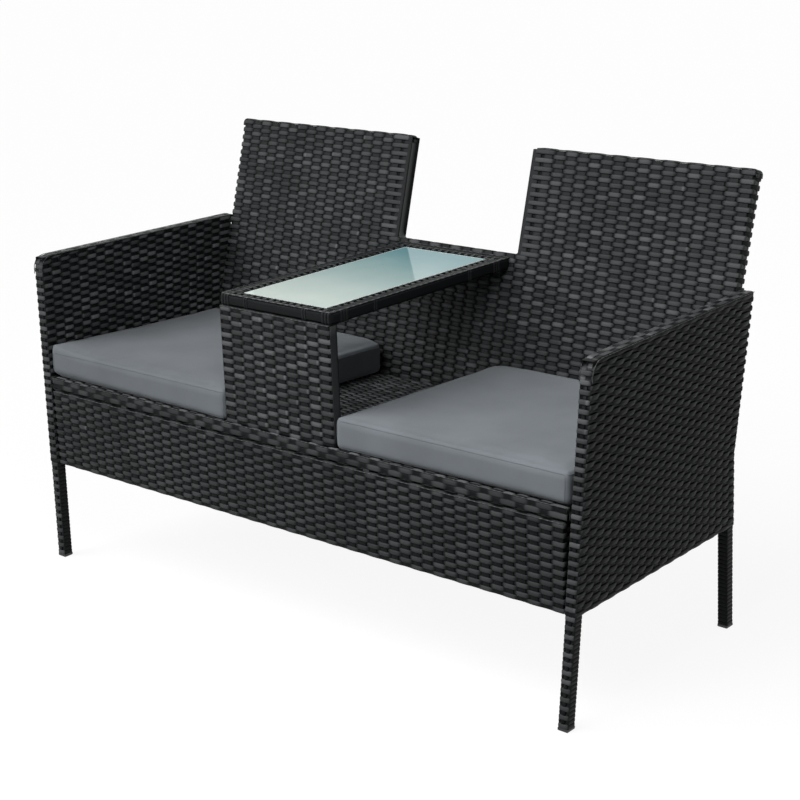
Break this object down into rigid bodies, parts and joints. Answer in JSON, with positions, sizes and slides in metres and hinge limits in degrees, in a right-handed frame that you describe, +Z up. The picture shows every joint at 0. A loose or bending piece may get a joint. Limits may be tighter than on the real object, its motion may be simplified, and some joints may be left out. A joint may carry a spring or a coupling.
{
  "type": "rattan bench",
  "caption": "Woven outdoor bench with separate seats, loose cushions and a glass-topped table set between reclined backrests.",
  "frame": {"origin": "on the floor, under the middle of the bench", "axes": "+X to the right of someone facing the bench, +Y to the back, +Z up"},
  "size_m": [1.343, 0.6148, 0.826],
  "materials": {
    "frame_steel": "black powder coat",
    "wicker": "black polyethylene strand, satin",
    "foot_plastic": "moulded black plastic",
    "zinc": "zinc plated",
    "spacer_nylon": "black nylon",
    "glass": "tempered, ground edges, frosted",
    "clear_pad": "clear soft pads",
    "cushion_fabric": "grey woven polyester",
    "cushion_foam": "open foam",
    "zip": "nylon coil zip"
  },
  "bodies": {
    "bench": {"left_front_leg": "frame_steel", "right_front_leg": "frame_steel", "left_rear_leg": "frame_steel", "right_rear_leg": "frame_steel", "left_arm_tube": "frame_steel", "right_arm_tube": "frame_steel", "left_lower_rail": "frame_steel", "right_lower_rail": "frame_steel", "left_side_rail": "frame_steel", "right_side_rail": "frame_steel", "left_side_skin": "wicker", "right_side_skin": "wicker", "left_leg_wraps": "wicker", "right_leg_wraps": "wicker", "foot_caps": "foot_plastic", "seat_front_tube": "frame_steel", "seat_rear_tube": "frame_steel", "seat_side_tubes": "frame_steel", "seat_cross_bars": "frame_steel", "seat_skin": "wicker", "apron_frame": "frame_steel", "apron_links": "frame_steel", "apron_skin": "wicker", "back_frame": "frame_steel", "back_skin": "wicker", "table_panel_frame": "frame_steel", "table_panel_skin": "wicker", "table_frame": "frame_steel", "table_rim": "wicker", "glass_tabs": "frame_steel", "glass_pads": "clear_pad", "seat_bolts": "zinc", "back_bolts": "zinc", "panel_bolts": "zinc", "table_bolts": "zinc", "blind_nuts": "zinc", "spacers": "spacer_nylon"},
    "left_cushion": {"left_cushion_cover": "cushion_fabric", "left_cushion_foam": "cushion_foam", "left_zip": "zip"},
    "right_cushion": {"right_cushion_cover": "cushion_fabric", "right_cushion_foam": "cushion_foam", "right_zip": "zip"},
    "glass_top": {"table_glass": "glass"},
    "left_zip_runner": {"left_zip_slider": "zinc"},
    "right_zip_runner": {"right_zip_slider": "zinc"}
  },
  "joints": [
    {"name": "left_cushion_lift", "type": "slide", "parent": "bench", "child": "left_cushion", "axis": [0, 0, 1], "range_m": [0, 0.48]},
    {"name": "right_cushion_lift", "type": "slide", "parent": "bench", "child": "right_cushion", "axis": [0, 0, 1], "range_m": [0, 0.48]},
    {"name": "table_glass_lift", "type": "slide", "parent": "bench", "child": "glass_top", "axis": [0, 0, 1], "range_m": [0, 0.24]},
    {"name": "left_zip_slide", "type": "slide", "parent": "left_cushion", "child": "left_zip_runner", "axis": [-1, 0, 0], "range_m": [0, 0.35]},
    {"name": "right_zip_slide", "type": "slide", "parent": "right_cushion", "child": "right_zip_runner", "axis": [1, 0, 0], "range_m": [0, 0.35]}
  ]
}
